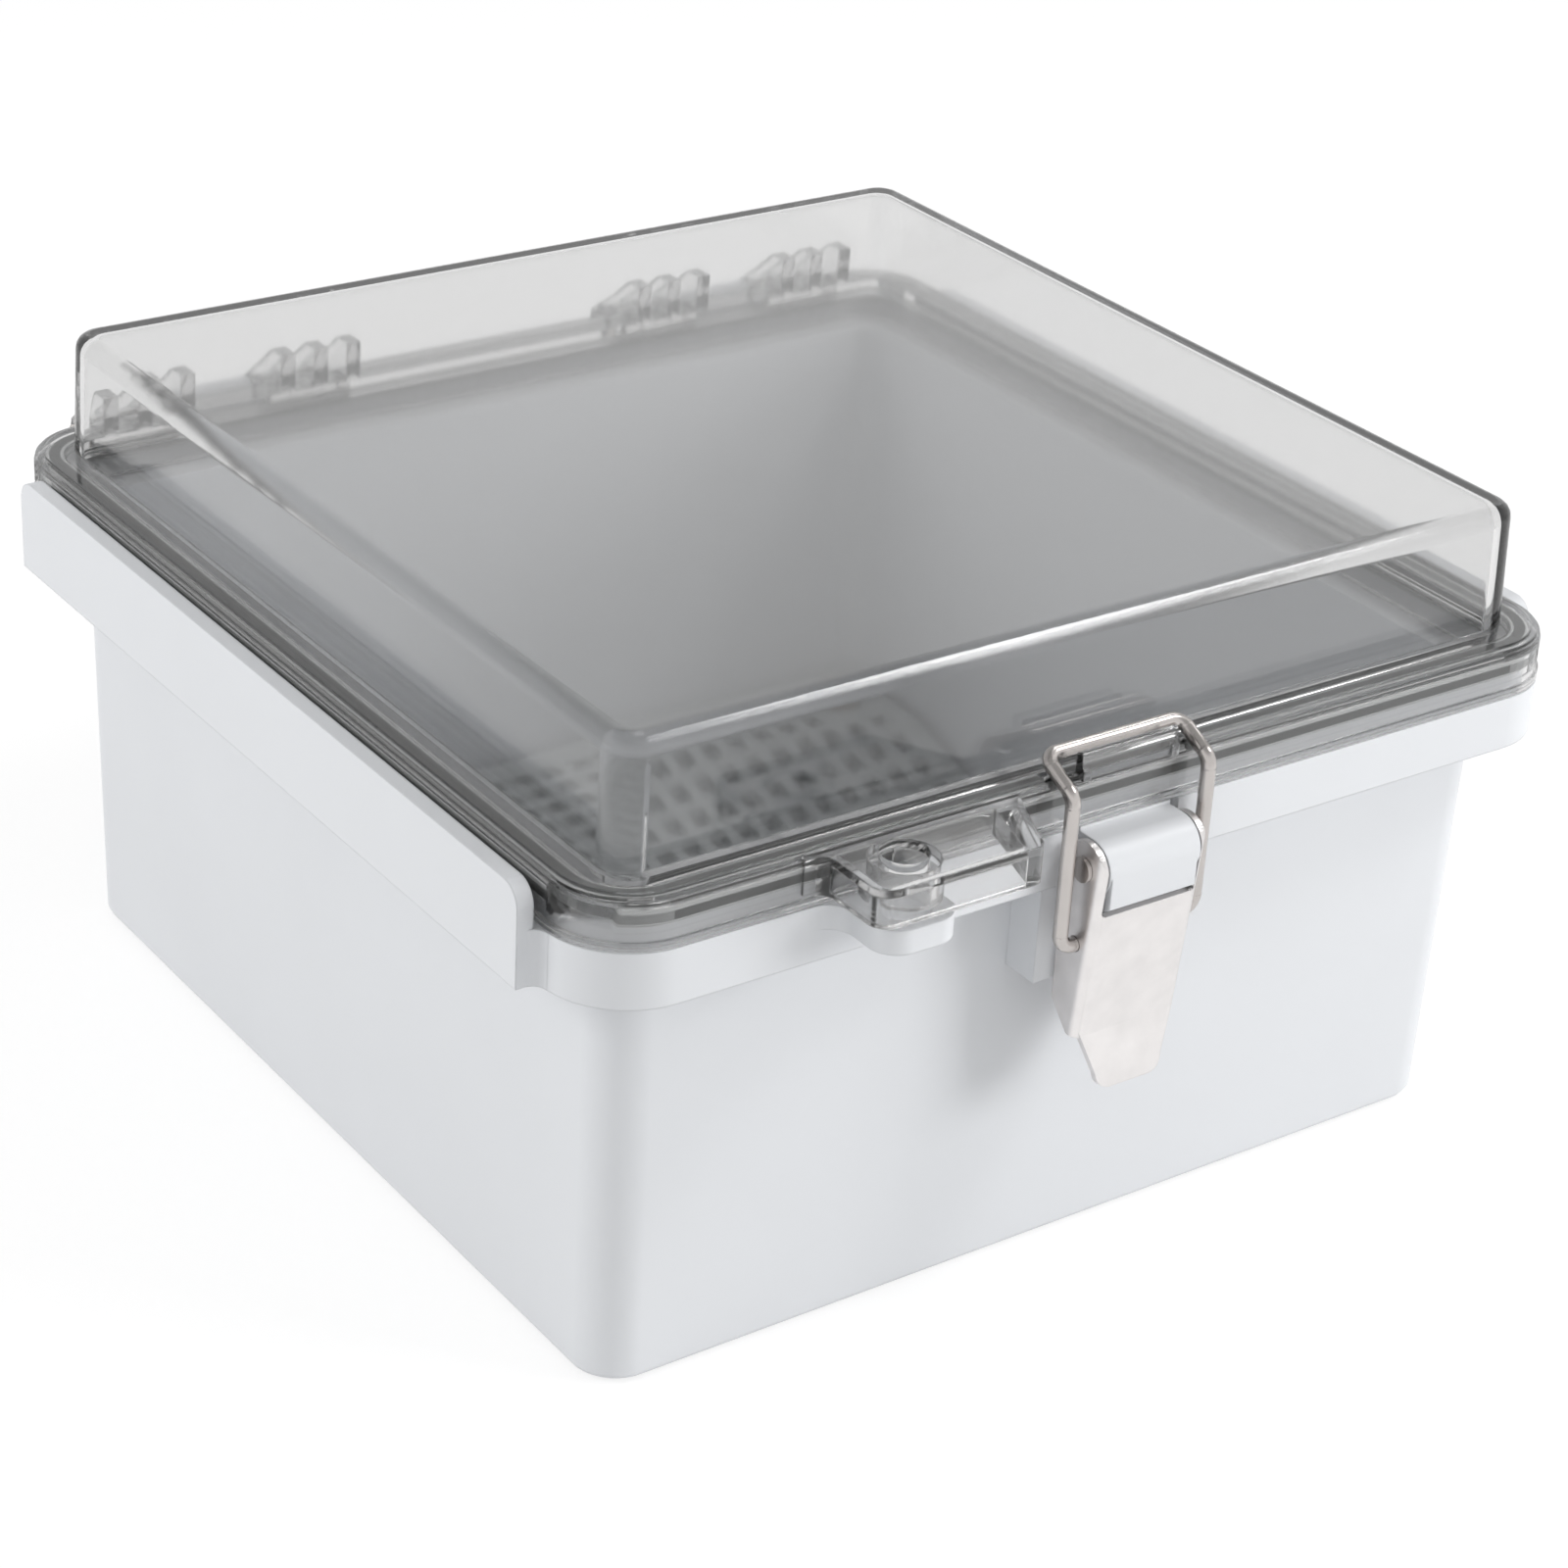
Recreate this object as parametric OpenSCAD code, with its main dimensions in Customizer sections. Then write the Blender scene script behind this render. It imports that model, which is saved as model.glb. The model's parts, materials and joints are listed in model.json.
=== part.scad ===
// Hinged wall-mount enclosure: a drafted tub, a raised clear lid on two pinned hinges,
// a wire-bail draw latch, a padlock hasp and a perforated mounting panel.
// X runs along the latch side, Y from the latch to the hinges, Z up from the wall face.

/* [Tub] */
// Outside width of the tub under the rim
tub_w = 186; // [150:1:260]
// Outside depth of the tub under the rim
tub_d = 188; // [150:1:260]
// Height from the wall face to the top of the rim
rim_z = 88; // [70:1:140]
// Thickness of the tub walls
wall = 3; // [2.4:0.1:4]
// Thickness of the floor
floor_t = 3.2; // [2.4:0.1:5]
// Draft of each wall over the full height
draft = 0.9; // [0:0.1:2]
// Outside radius of the tub's upright corners
tub_r = 8; // [5:0.5:14]
// Size of the rounding along the bottom edge
foot_round = 1.4; // [0.6:0.1:2.4]

/* [Rim and side guards] */
// How far the rim stands out from the tub
rim_over = 9.2; // [8.4:0.1:12]
// Height of the rim's outer skirt
rim_h = 10; // [8:0.5:12]
// Thickness of the rim's top web
web_t = 3.4; // [2.6:0.1:4.4]
// Thickness of the rim and lid skirts
skirt_t = 2.4; // [2:0.1:2.8]
// Radius of the rim's corners in plan
rim_r = 15; // [12:0.5:20]
// Thickness of a side guard
guard_t = 3; // [2.4:0.1:4]
// Length of a side guard
guard_len = 175; // [120:1:185]
// How far a side guard rises above the rim
guard_rise = 7.7; // [6:0.1:12]
// Gap between the lid and a side guard
guard_gap = 1.1; // [0.6:0.1:2]
// Radius of a side guard's upper corners
guard_r = 4; // [2:0.5:6]

/* [Lid] */
// Height of the lid's flange above the rim
flange_h = 9.4; // [8:0.1:12]
// Thickness of the flange plate
flange_t = 2.8; // [2:0.1:3.4]
// Rounding of the flange's outer top edge
flange_round = 1.8; // [0.6:0.1:2.2]
// Height of the raised dome above the flange
dome_h = 22.7; // [12:0.1:40]
// How far the dome stands out beyond the tub's walls
dome_over = 1; // [0:0.1:1.5]
// Wall thickness of the dome
dome_t = 2.6; // [2:0.1:3.6]
// Draft of each dome wall
dome_draft = 0.7; // [0:0.1:1.5]
// Radius of the dome's upright corners
dome_r = 5.5; // [5:0.5:12]
// Rounding of the dome's top edge
dome_round = 2.8; // [1.5:0.1:4]
// Height of the lip along the bottom of the lid skirt
lip_h = 1.5; // [0.8:0.1:2.5]
// How far the lip stands out from the skirt
lip_out = 0.4; // [0.2:0.05:0.8]
// Gap between the lid skirt and the rim
part_gap = 0.3; // [0.2:0.05:0.6]

/* [Seal] */
// Width of the gasket
gasket_w = 3.6; // [3:0.1:4]
// Height of the gasket
gasket_h = 3.2; // [2:0.1:4]
// Thickness of the sealing rib on the rim
rib_t = 1.6; // [1.2:0.1:2.4]
// Clearance between the sealing rib and the gasket
seal_gap = 0.1; // [0.05:0.05:0.3]

/* [Hinges] */
// Distance of the hinge axis behind the rim
hinge_back = 4.8; // [4.6:0.1:7]
// Height of the hinge axis above the rim
hinge_up = 4; // [3:0.1:5]
// Outside radius of the hinge barrels
barrel_r = 4.2; // [3.6:0.1:4.4]
// Distance of each hinge's middle in from the side of the tub
hinge_in = 34.7; // [30:0.1:48]
// Length of each of the three barrels of a hinge
barrel_len = 17.3; // [14:0.1:20]
// Sideways gap between two barrels
barrel_gap = 0.4; // [0.2:0.05:0.8]
// Radius of the hinge pin
pin_r = 1.5; // [1.2:0.1:2]
// Radial clearance of the hinge pin
pin_fit = 0.05; // [0.03:0.01:0.1]
// Thickness of a hinge rib
hinge_rib_t = 2.9; // [2:0.1:3.4]
// Spacing of the three ribs over a lid barrel
hinge_rib_pitch = 7.05; // [5.5:0.05:7.2]
// Height of the hinge ribs above the flange
hinge_rib_h = 7.7; // [6:0.1:12]
// Depth of a hinge rib's flat top behind the dome
hinge_rib_d = 4; // [2:0.1:6]

/* [Latch] */
// Width across the latch lever
lever_w = 22; // [18:0.5:26]
// Sheet thickness of the lever
lever_t = 1.2; // [0.8:0.1:1.6]
// Bend radius on the outside of the lever
lever_bend = 2; // [1.6:0.1:3]
// Distance of the lever's pivot in front of the rim
pivot_out = 3.6; // [3:0.1:5]
// Depth of the lever's pivot below the rim's top
pivot_down = 5.6; // [5.2:0.1:7]
// Radius of the lever's ears around the pivot
ear_r = 4.9; // [4:0.1:5]
// Radius of the latch pivot pin
pivot_r = 1.5; // [1.2:0.1:1.8]
// Length of the lever from its pivot to the bend of its tab
lever_len = 30.8; // [26:0.1:40]
// How far the lever's face leans back towards the tub, in degrees
lever_lean = 5.5; // [0:0.5:7]
// Length of the finger tab
tab_len = 10.5; // [6:0.5:14]
// Outward bend of the finger tab from the lever's face, in degrees
tab_lean = 18; // [0:1:24]
// Depth of the window between the ears, below the pivot
window_down = 7.1; // [6:0.1:9]
// Distance from the pivot down to the bail's holes
bail_drop = 14.2; // [12:0.1:16]
// How far the bail's holes lie behind the pivot
bail_back = 0.5; // [0:0.1:1]
// Radius of the bail's wire
wire_r = 1.3; // [1:0.1:1.5]
// Distance from the centre line to each bail leg
leg_x = 14.2; // [13:0.1:15]
// Height of the bail's crossbar above the rim
bar_up = 11.9; // [11:0.05:13]
// How far the bail's crossbar lies behind the bail's holes
bar_back = 8.1; // [7.6:0.1:8.8]
// Height of the bend at the top of the bail's legs above the rim
knee_up = 8; // [6:0.1:9]
// Height of the catch ridge above the flange
catch_h = 3.8; // [2.4:0.1:4]
// Thickness of the catch ridge
catch_t = 1.6; // [1.2:0.1:2]
// Clearance between moving parts of the latch
latch_gap = 0.3; // [0.2:0.05:0.5]
// Clearance under the bail's legs in the grooves of the lid's edge
leg_gap = 0.65; // [0.6:0.05:0.9]

/* [Hasp] */
// Distance of the hasp hole to the left of the latch
hasp_x = 50; // [46:0.5:60]
// Distance of the hasp hole in front of the rim
hasp_out = 6; // [5.8:0.1:8]
// Radius of the padlock hole
lock_r = 4; // [3:0.1:4.5]
// How far the lower hasp tab stands out from the rim
hasp_len = 13.2; // [12.4:0.1:16]
// Thickness of the lower hasp tab
hasp_t = 4.4; // [3:0.1:8]
// How far the upper hasp tab stands out beyond the lower one
hasp_more = 2; // [0:0.1:4]
// Width of the upper hasp tab along its front
hasp_w = 32.4; // [28:0.1:34]
// Height of the upper hasp tab
lid_hasp_t = 6.8; // [6:0.1:8.6]
// Wall thickness of the hollow upper hasp tab
hasp_wall = 2.2; // [1.6:0.1:2.6]

/* [Panel] */
// Gap between the panel and the tub walls
panel_gap = 2.4; // [1.5:0.1:6]
// Thickness of the panel
panel_t = 1.5; // [1:0.1:3]
// Height of the panel's bosses above the floor
boss_h = 5.2; // [4:0.1:12]
// Spacing of the square perforations
perf_pitch = 6.6; // [6:0.1:14]
// Width of a square perforation
perf_w = 4; // [2.5:0.1:5]
// Distance of the panel screws in from the inside walls
screw_in = 13.6; // [12:0.1:20]
// Nominal thread radius of the panel screws
screw_r = 2; // [1.5:0.1:2.5]
// Clearance of the screws in the panel's holes
screw_gap = 0.3; // [0.2:0.05:0.6]

/* [Wall fixing] */
// Spacing of the wall-fixing inserts along X
fix_x = 120; // [80:1:140]
// Spacing of the wall-fixing inserts along Y
fix_y = 120; // [80:1:140]
// Thread bore radius of a wall-fixing insert
fix_r = 2.5; // [2:0.1:3]
// Length of a wall-fixing insert
fix_len = 6; // [5:0.1:7]

/* [Hidden] */
$fn = 64;
eps = 0.01;

// Colours
c_tub = "#dfe3e5";
c_clear = [0.62, 0.64, 0.66, 0.35];
c_seal = "#8e9091";
c_steel = "#c9c4bc";
c_panel = "#c4c8ca";
c_brass = "#b9975b";

// Tub and rim
half_w = tub_w / 2;
half_d = tub_d / 2;
rim_w = tub_w + 2 * rim_over;
rim_d = tub_d + 2 * rim_over;
rim_front = -rim_d / 2;
wall_front = -half_d;
skirt_z = rim_z - rim_h;
inner_w = tub_w - 2 * wall;
inner_d = tub_d - 2 * wall;
inner_r = tub_r - wall + 1;
guard_in = rim_w / 2 + guard_gap;
guard_out = guard_in + guard_t;
guard_z = rim_z + guard_rise;
guard_fillet_r = 2.4;

// Lid
lid_z = rim_z + part_gap;
flange_z = rim_z + flange_h;
top_z = flange_z + dome_h;
dome_w = tub_w + 2 * dome_over;
dome_d = tub_d + 2 * dome_over;
plate_z = flange_z - flange_t;
channel_in = skirt_t;
channel_out = channel_in + gasket_w;
seal_wall = 2.2;
gasket_z = plate_z - gasket_h;
rib_in = channel_in + (gasket_w - rib_t) / 2;
rib_top = gasket_z - seal_gap;

// Hinges
hinge_y = rim_d / 2 + hinge_back;
hinge_z = rim_z + hinge_up;
barrel_pitch = barrel_len + barrel_gap;
pin_len = 3 * barrel_len + 2 * barrel_gap;
bore_half = barrel_pitch + barrel_len / 2 + 1;
pin_head_r = pin_r + 1;
pin_head_t = 1;
hinge_x = half_w - hinge_in;
arm_back = 3.6;
arm_under_r = 7;
arm_under_y = rim_d / 2 + 8.4;
arm_under_z = skirt_z - 1.6;

// Latch
pivot_y = rim_front - pivot_out;
pivot_z = rim_z - pivot_down;
face_y = pivot_y - ear_r;
lever_in = lever_w / 2 - lever_t;
knuckle_x = lever_in - latch_gap;
window_z = pivot_z - window_down;
window_r = 0.8;
ear_back = pivot_y + ear_r;
bend_z = pivot_z - lever_len;
bail_y = pivot_y + bail_back;
bail_z = pivot_z - bail_drop;
bar_y = bail_y + bar_back;
bar_z = rim_z + bar_up;
wire_bend = 2.6;
knee_bend = 2.8;
bar_bend = 2.4;
wire_swell = 0.01;
pivot_fit = 0.05;
wire_fit = 0.08;
boss_y = ear_back + latch_gap + 0.5;
boss_half = 14.6;
flat_y = face_y + lever_t + latch_gap + (window_down + 3) * tan(lever_lean);
knuckle_low = pivot_z - window_down - 3;
window_reach = norm([ear_r - lever_t, window_down]) - latch_gap;
knee_z = rim_z + knee_up;
bar_lean = atan2(bar_back, bar_z - knee_z);
boss_z = skirt_z - 19;
catch_half = 10;
groove_len = 20;
groove_deep = 12;
catch_y = rim_front + lip_out + catch_t;

// Hasp
lock_x = -hasp_x;
hasp_front = rim_front - hasp_len;
lid_hasp_front = hasp_front - hasp_more;
lid_hasp_left = lock_x - 11;
lid_hasp_right = lid_hasp_left + hasp_w;
lid_hasp_r = [3.4, 2.6];
lid_hasp_lean = 6;
lid_hasp_blend = 3.6;
lid_hasp_z = flange_z - lid_hasp_t;
lock_boss_r = lock_r + 1.8;
hasp_y = rim_front - hasp_out;
hasp_ring = 3.6;
hasp_r = 5;
hasp_blend = 4.5;

// Panel
floor_in = floor_t;
panel_z = floor_in + boss_h;
panel_w = inner_w - 2 * draft - 2 * panel_gap;
panel_d = inner_d - 2 * draft - 2 * panel_gap;
screw_x = inner_w / 2 - screw_in;
screw_y = inner_d / 2 - screw_in;
insert_r = screw_r + 1.2;
insert_len = 5.6;
insert_fit = 0.02;
boss_r = insert_r + 2;
washer_r = 2 * screw_r + 0.5;
washer_t = 0.8;
fix_out_r = fix_r + 1.3;
fix_boss_r = fix_out_r + 2.2;

// ---- outlines and placing --------------------------------------------------

// Rectangle with round corners, centred on the origin
module round_rect(w, d, r) {
    square([w - 2 * r, d], center = true);
    square([w, d - 2 * r], center = true);
    for (x = [-1, 1], y = [-1, 1])
        translate([x * (w / 2 - r), y * (d / 2 - r)]) circle(r);
}

// Prism on a round rectangle from z0 to z1
module slab(w, d, r, z0, z1) {
    translate([0, 0, z0]) linear_extrude(z1 - z0) round_rect(w, d, r);
}

// Ring that follows the rim, from inset a to inset b
module rim_ring(a, b, z0, z1) {
    difference() {
        slab(rim_w - 2 * a, rim_d - 2 * a, rim_r - a, z0, z1);
        slab(rim_w - 2 * b, rim_d - 2 * b, max(rim_r - b, 4), z0 - 1, z1 + 1);
    }
}

// Thin slice of a drafted shell, used inside hull()
module slice(w, d, r, z) {
    translate([0, 0, z]) linear_extrude(eps) round_rect(w, d, r, $fn = 72);
}

// Profile in the YZ plane, extruded along X from x0 to x1
module along_x(x0, x1) {
    translate([x0, 0, 0]) rotate([90, 0, 90]) linear_extrude(x1 - x0) children();
}

// Round bar along X from x0 to x1
module bar_x(x0, x1, y, z, r) {
    translate([x0, y, z]) rotate([0, 90, 0]) cylinder(h = x1 - x0, r = r);
}

// Children on both sides of the centre line
module both_sides() {
    children();
    mirror([1, 0, 0]) children();
}

// Children at the four corners of a rectangle
module at_corners(x, y) {
    for (sx = [-1, 1], sy = [-1, 1]) translate([sx * x, sy * y, 0]) children();
}

// ---- tub -------------------------------------------------------------------

// Drafted outside of the tub with a rounded bottom edge
module tub_outside() {
    low = draft + foot_round;
    mid = draft + 0.3 * foot_round;
    hull() {
        slice(tub_w - 2 * low, tub_d - 2 * low, tub_r - foot_round, 0);
        slice(tub_w - 2 * mid, tub_d - 2 * mid, tub_r, 0.35 * foot_round);
        slice(tub_w - 2 * draft, tub_d - 2 * draft, tub_r, foot_round);
        slice(tub_w, tub_d, tub_r, rim_z - web_t);
    }
}

// Hollow inside of the tub, open at the top
module tub_inside() {
    hull() {
        slice(inner_w - 2 * draft - 3, inner_d - 2 * draft - 3, inner_r, floor_t);
        slice(inner_w - 2 * draft, inner_d - 2 * draft, inner_r, floor_t + 1.5);
        slice(inner_w, inner_d, inner_r, rim_z + 1);
    }
}

// Guard plate that shields the lid's edge on one side
module side_guard() {
    y = guard_len / 2;
    along_x(guard_in, guard_out) {
        translate([-y, skirt_z]) square([guard_len, guard_z - skirt_z - guard_r]);
        translate([-y + guard_r, skirt_z]) square([guard_len - 2 * guard_r, guard_z - skirt_z]);
        for (s = [-1, 1]) translate([s * (y - guard_r), guard_z - guard_r]) circle(guard_r);
    }
    translate([rim_w / 2 - skirt_t, -y, skirt_z])
        cube([guard_out - rim_w / 2 + skirt_t - 1, guard_len, rim_h]);
    for (s = [-1, 1]) guard_fillet(s);
}

// Concave fillet between the end of a guard and the rim's side
module guard_fillet(s) {
    r = guard_fillet_r;
    x0 = rim_w / 2;
    y0 = guard_len / 2;
    translate([0, 0, skirt_z]) linear_extrude(rim_h) difference() {
        translate([x0 - 1, s > 0 ? y0 - 1 : -y0 - r]) square([r + 1, r + 1]);
        translate([x0 + r, s * (y0 + r)]) circle(r);
    }
}

// Block under the rim that carries the latch
module latch_block() {
    along_x(-boss_half, boss_half)
        polygon([[wall_front + 1, boss_z], [boss_y, boss_z], [boss_y, skirt_z + 1],
                 [wall_front + 1, skirt_z + 1]]);
}

// Knuckle between the lever's ears: round top, flush front, low end tucked behind the lever
module latch_knuckle() {
    back = boss_y - flat_y + 1;
    low_x = lever_in - window_r;
    along_x(-knuckle_x, knuckle_x) {
        translate([pivot_y, pivot_z]) circle(ear_r);
        translate([pivot_y, pivot_z]) square([boss_y - pivot_y + 3, ear_r]);
    }
    along_x(-low_x, low_x) {
        translate([flat_y, knuckle_low]) square([back, pivot_z - knuckle_low]);
        intersection() {
            translate([face_y, knuckle_low]) square([back, pivot_z - knuckle_low]);
            translate([pivot_y, pivot_z]) circle(window_reach);
        }
    }
}

// Slots in the rim that clear the lever's ears
module ear_slots() {
    both_sides() translate([lever_in - latch_gap, rim_front - 1, skirt_z - 1])
        cube([lever_t + 2 * latch_gap, boss_y - rim_front + 1, rim_h + 2]);
}

// Hasp tab in plan, inset by t: front corners of radius r0 and r1, its right side leaning by
// lean, and concave blends of radius c into the edge of the rim
module hasp_plan(x0, x1, front, r0, r1, lean, c, t) {
    left = x0 + t;
    low = front + t;
    right = x1 - t;
    root = rim_front + 1;
    difference() {
        union() {
            translate([left, low + r0 - t]) square([right - left - r1, root - low - r0 + t]);
            translate([left + r0 - t, low]) square([right - left - r0 - r1 + 2 * t, root - low]);
            translate([left + r0 - t, low + r0 - t]) circle(r0 - t);
            translate([right - r1 + t, low + r1 - t]) circle(r1 - t);
            polygon([[right - r1 - 1, low + 1], [right, low + r1 - t], [right + lean, root], [left, root]]);
            translate([left - c, rim_front - c]) square([c + 1, c + 1]);
        }
        translate([left - c, rim_front - c]) circle(c);
    }
}

// Lower hasp tab
module hasp_tab() {
    around = lock_r + hasp_ring;
    translate([0, 0, rim_z - hasp_t]) linear_extrude(hasp_t)
        hasp_plan(lock_x - around, lock_x + around, hasp_front, hasp_r, hasp_r, 0, hasp_blend, 0);
}

// Arm and barrel between the two lid barrels of a hinge
module tub_hinge(x) {
    half = barrel_len / 2;
    bar_x(x - half, x + half, hinge_y, hinge_z, barrel_r);
    along_x(x - half, x + half) difference() {
        polygon([[rim_d / 2 - 1, skirt_z + 1], [rim_d / 2 - 1, rim_z], [hinge_y - barrel_r + 0.4, rim_z],
                 [hinge_y - barrel_r, hinge_z], [hinge_y, hinge_z], [hinge_y + arm_back, hinge_z - 2],
                 [rim_d / 2, skirt_z]]);
        translate([arm_under_y, arm_under_z]) circle(arm_under_r);
    }
}

// Boss on the floor for a panel screw's insert
module panel_boss() {
    translate([0, 0, floor_t - 1]) cylinder(h = panel_z - floor_t + 1, r = boss_r);
}

// Boss on the floor over a wall-fixing insert
module fix_boss() {
    translate([0, 0, floor_t - 1]) cylinder(h = panel_z - latch_gap - floor_t + 1, r = fix_boss_r);
}

module tub() {
    color(c_tub) difference() {
        union() {
            difference() {
                union() {
                    tub_outside();
                    slab(rim_w, rim_d, rim_r, rim_z - web_t, rim_z);
                    rim_ring(0, skirt_t, skirt_z, rim_z);
                    latch_block();
                    both_sides() side_guard();
                }
                tub_inside();
                ear_slots();
            }
            rim_ring(rib_in, rib_in + rib_t, rim_z - 1, rib_top);
            latch_knuckle();
            hasp_tab();
            both_sides() tub_hinge(hinge_x);
            at_corners(screw_x, screw_y) panel_boss();
            at_corners(fix_x / 2, fix_y / 2) fix_boss();
        }
        bar_x(-lever_w, lever_w, pivot_y, pivot_z, pivot_r + pivot_fit);
        both_sides() bar_x(hinge_x - barrel_len, hinge_x + barrel_len, hinge_y, hinge_z, pin_r + pin_fit);
        translate([lock_x, hasp_y, rim_z - hasp_t - 1]) cylinder(h = hasp_t + 2, r = lock_r);
        at_corners(screw_x, screw_y) translate([0, 0, panel_z - insert_len - 0.6])
            cylinder(h = insert_len + 1, r = insert_r + insert_fit);
        at_corners(fix_x / 2, fix_y / 2) translate([0, 0, -1])
            cylinder(h = fix_len + 1.6, r = fix_out_r + insert_fit);
    }
}

// ---- lid -------------------------------------------------------------------

// Outside or inside of the raised dome: inset by t, with its top edge rounded by r
module dome_shape(t, z0, r) {
    top = top_z - t;
    hull() {
        slice(dome_w - 2 * t, dome_d - 2 * t, dome_r - 0.6 * t, z0);
        for (a = [0 : 22.5 : 90]) {
            in = t + dome_draft + r * (1 - cos(a));
            slice(dome_w - 2 * in, dome_d - 2 * in, max(dome_r - 0.6 * t - r * (1 - cos(a)), 1.2),
                  top - r + r * sin(a) - (a == 90 ? eps : 0));
        }
    }
}

// Flange plate and skirt, with a lip below and a stepped, rounded edge above
module flange() {
    r = flange_round;
    inside = rim_over - dome_over + dome_t;
    rim_ring(0, skirt_t, lid_z, lid_z + lip_h);
    rim_ring(lip_out, skirt_t, lid_z, flange_z - r);
    rim_ring(lip_out + 0.13 * r, inside, plate_z, flange_z - 0.5 * r);
    rim_ring(lip_out + 0.4 * r, inside, plate_z, flange_z - 0.2 * r);
    rim_ring(lip_out + r, inside, plate_z, flange_z);
    rim_ring(channel_out, channel_out + seal_wall, lid_z + part_gap, plate_z + 1);
}

// Upper hasp tab: a cap with thin walls, open below, and a boss round the padlock hole
module lid_hasp() {
    r0 = lid_hasp_r[0];
    r1 = lid_hasp_r[1];
    difference() {
        translate([0, 0, lid_hasp_z]) linear_extrude(lid_hasp_t)
            hasp_plan(lid_hasp_left, lid_hasp_right, lid_hasp_front, r0, r1, lid_hasp_lean,
                      lid_hasp_blend, 0);
        translate([0, 0, lid_hasp_z - 1]) linear_extrude(lid_hasp_t + 1 - hasp_wall) difference() {
            hasp_plan(lid_hasp_left, lid_hasp_right - 1, lid_hasp_front, r0, r1, lid_hasp_lean - 2,
                      lid_hasp_blend, hasp_wall);
            translate([lid_hasp_left - 9, rim_front - 0.4]) square([hasp_w + 30, 9]);
            translate([lid_hasp_left - 9, rim_front - 9]) square([9 + hasp_wall, 12]);
        }
    }
    translate([lock_x, hasp_y, lid_hasp_z]) cylinder(h = lid_hasp_t - 1, r = lock_boss_r);
}

// Catch ridge for the bail's crossbar, with a short web at each end
module catch_ridge() {
    y0 = catch_y - catch_t;
    r = catch_t / 2;
    along_x(-catch_half, catch_half) {
        translate([y0, flange_z - 1]) square([catch_t, catch_h + 1 - r]);
        translate([y0 + r, flange_z + catch_h - r]) circle(r);
    }
    both_sides() along_x(catch_half - catch_t, catch_half)
        polygon([[y0 - 0.6, flange_z - 1], [y0 + r, flange_z - 1], [y0 + r, flange_z + catch_h - r],
                 [y0 - 0.6, flange_z + 0.6]]);
}

// Grooves in the lid's edge under the bail's legs
module leg_grooves() {
    drop = wire_r + leg_gap;
    both_sides() along_x(leg_x - drop, leg_x + drop) translate([bar_y, bar_z]) rotate(90 - bar_lean)
        translate([-groove_len, -drop]) square([groove_len, groove_deep]);
}

// Rib and barrel profile of a lid hinge: upright front, flat top, back slope down to the barrel
module hinge_rib_profile() {
    top = flange_z + hinge_rib_h;
    front = dome_d / 2 - dome_t;
    back = hinge_y + barrel_r;
    polygon([[front, flange_z - 1], [front, top], [dome_d / 2 + hinge_rib_d, top],
             [back, hinge_z + barrel_r / 2], [back, hinge_z], [hinge_y - barrel_r, hinge_z],
             [hinge_y - barrel_r, flange_z - 2]]);
}

module lid_hinge(x) {
    half = barrel_len / 2;
    bar_x(x - half, x + half, hinge_y, hinge_z, barrel_r);
    along_x(x - half, x + half)
        polygon([[rim_d / 2 - 1, flange_z - flange_t], [rim_d / 2 - 1, flange_z - 0.6],
                 [hinge_y - 1, flange_z - 0.6], [hinge_y + 2, hinge_z + 3], [hinge_y, hinge_z],
                 [hinge_y - barrel_r, hinge_z]]);
    for (i = [-1 : 1]) {
        mid = x + i * hinge_rib_pitch;
        along_x(mid - hinge_rib_t / 2, mid + hinge_rib_t / 2) hinge_rib_profile();
    }
}

module lid() {
    color(c_clear) difference() {
        union() {
            flange();
            difference() {
                union() {
                    dome_shape(0, plate_z, dome_round);
                    both_sides() {
                        lid_hinge(hinge_x - barrel_pitch);
                        lid_hinge(hinge_x + barrel_pitch);
                    }
                }
                dome_shape(dome_t, plate_z - 1, dome_round - 1);
            }
            lid_hasp();
            catch_ridge();
        }
        translate([lock_x, hasp_y, lid_z - 1]) cylinder(h = flange_h + 2, r = lock_r);
        both_sides() bar_x(hinge_x - bore_half, hinge_x + bore_half, hinge_y, hinge_z, pin_r + pin_fit);
        rim_ring(channel_in, channel_out, lid_z - 1, plate_z);
        leg_grooves();
    }
}

module gasket() {
    color(c_seal) rim_ring(channel_in, channel_out, gasket_z, plate_z);
}

// ---- hinge pins ------------------------------------------------------------

module hinge_pin(x) {
    x0 = x - pin_len / 2;
    x1 = x + pin_len / 2;
    color(c_steel) {
        bar_x(x0, x1 + 0.2, hinge_y, hinge_z, pin_r);
        bar_x(x1 + 0.2, x1 + 0.2 + pin_head_t, hinge_y, hinge_z, pin_head_r);
    }
}

module hinge_pin_left() {
    mirror([1, 0, 0]) hinge_pin(hinge_x);
}

module hinge_pin_right() {
    hinge_pin(hinge_x);
}

// ---- latch -----------------------------------------------------------------

// Channel section of the lever in plan, open towards the tub
module lever_section() {
    w = lever_w / 2;
    depth = ear_back - face_y + 2;
    difference() {
        union() {
            translate([-w, face_y + lever_bend]) square([lever_w, depth]);
            translate([-w + lever_bend, face_y]) square([lever_w - 2 * lever_bend, depth]);
            both_sides() translate([w - lever_bend, face_y + lever_bend]) circle(lever_bend);
        }
        r = lever_bend - lever_t;
        translate([-lever_in, face_y + lever_bend]) square([2 * lever_in, depth + 1]);
        translate([-lever_in + r, face_y + lever_t]) square([2 * (lever_in - r), depth + 1]);
        both_sides() translate([lever_in - r, face_y + lever_bend]) circle(r);
    }
}

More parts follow.
